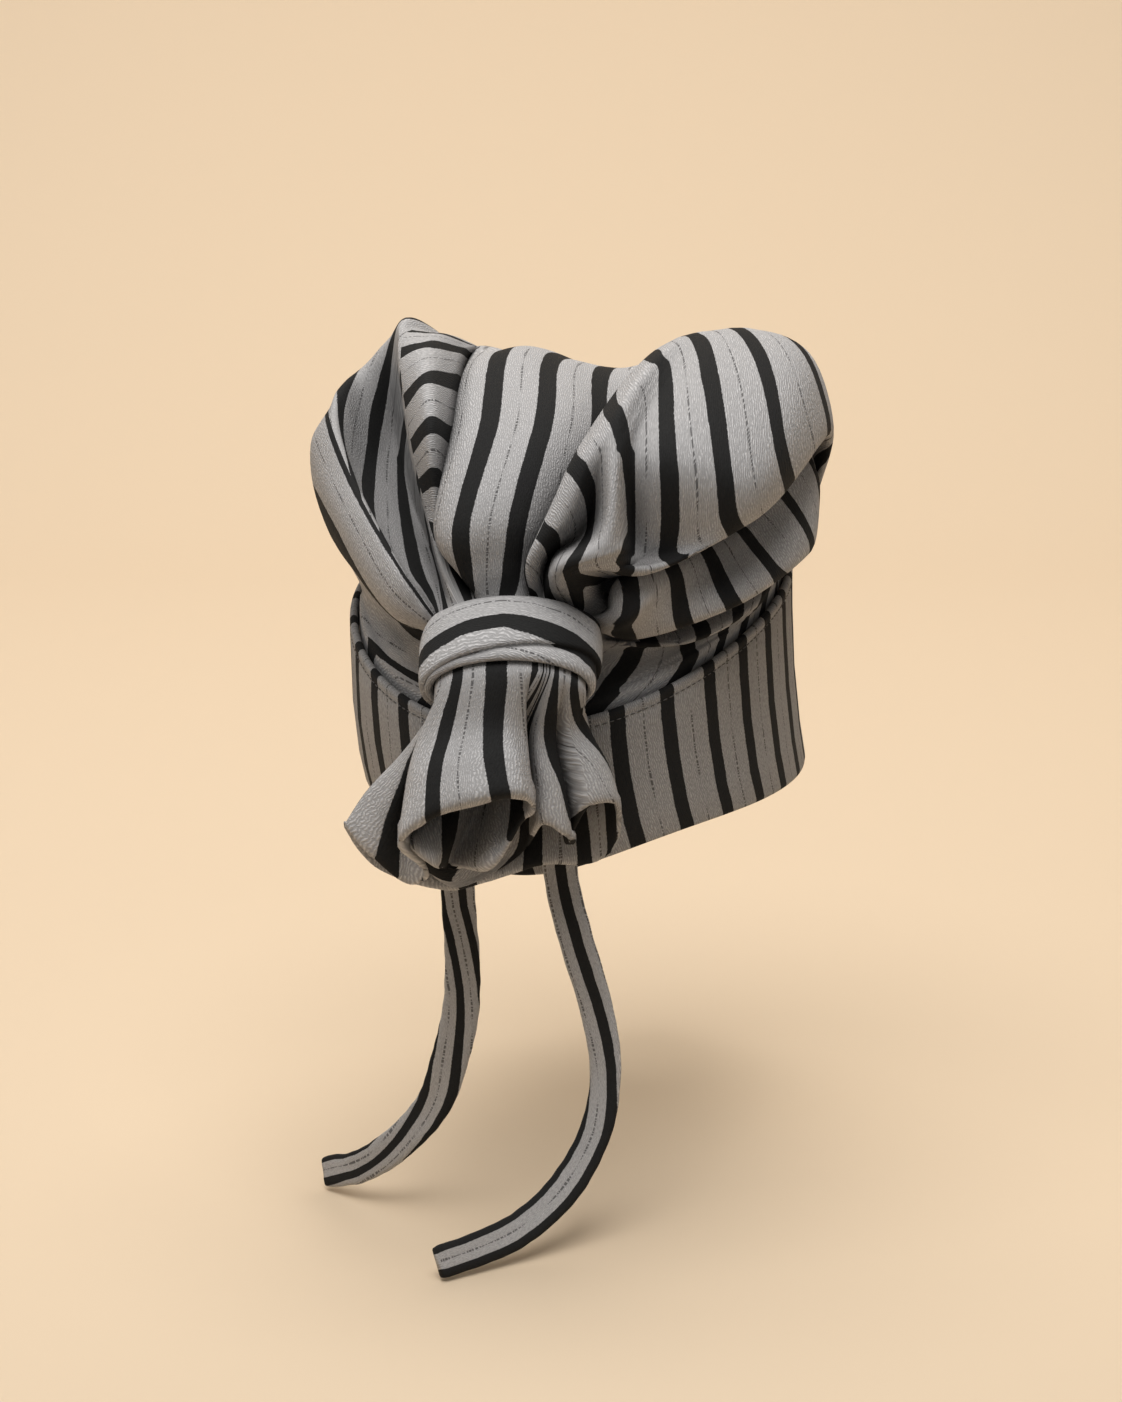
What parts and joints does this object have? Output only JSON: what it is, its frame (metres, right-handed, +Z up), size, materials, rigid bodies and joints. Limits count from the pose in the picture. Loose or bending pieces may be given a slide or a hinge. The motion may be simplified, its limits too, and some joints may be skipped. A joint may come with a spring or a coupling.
{
  "type": "draped knotted beanie",
  "caption": "Soft head wrap with an oval band, a gathered crown of high folds, a front knot with a pleated tail and flat hanging ties.",
  "frame": {"origin": "middle of the head opening, level with the sides of the band's rim", "axes": "+Z up toward the crown, -Y toward the knot at the front, +X toward the big lobe"},
  "size_m": [0.1866, 0.2779, 0.3043],
  "materials": {
    "striped_cloth": "matte grey cloth with narrow charcoal stripes"
  },
  "bodies": {
    "root": {"band": "striped_cloth", "crown": "striped_cloth", "knot_ring": "striped_cloth", "knot_tail": "striped_cloth", "tie_left": "striped_cloth", "tie_right": "striped_cloth"}
  },
  "joints": []
}
